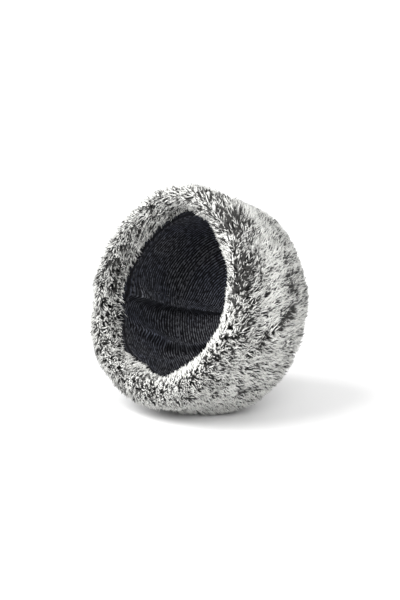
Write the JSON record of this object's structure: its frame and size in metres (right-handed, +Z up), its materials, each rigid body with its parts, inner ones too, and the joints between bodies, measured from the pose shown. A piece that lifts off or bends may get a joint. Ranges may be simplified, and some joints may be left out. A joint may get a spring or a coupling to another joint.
{
  "type": "furry windscreen",
  "caption": "Short, wide fur cap that slips over a large microphone head to quieten wind, with an elastic fur-rolled opening and a ribbed knit lining.",
  "frame": {"origin": "middle of the object's footprint, on the surface it rests on", "axes": "+Z up; the opening faces -Y and tips up 20 degrees; the crown is towards +Y; +X is to the right seen from the opening's side"},
  "size_m": [0.129, 0.0986, 0.1285],
  "materials": {
    "fur": "short dense two-tone faux fur, dark roots and white tips",
    "lining": "near-black ribbed knit",
    "foam": "open-cell foam",
    "elastic": "woven elastic",
    "thread": "spun polyester thread"
  },
  "bodies": {
    "root": {"rim_fur_left": "fur", "rim_fur_right": "fur", "wall_fur_left": "fur", "wall_fur_right": "fur", "crown_fur": "fur", "rim_elastic": "elastic", "foam_wall": "foam", "foam_crown": "foam", "lining_wall_upper": "lining", "lining_wall_lower": "lining", "lining_crown": "lining", "rim_seam_thread": "thread", "crown_seam_thread": "thread", "side_seam_thread": "thread", "hem_thread": "thread", "lining_side_thread": "thread", "lining_crown_thread": "thread"}
  },
  "joints": []
}
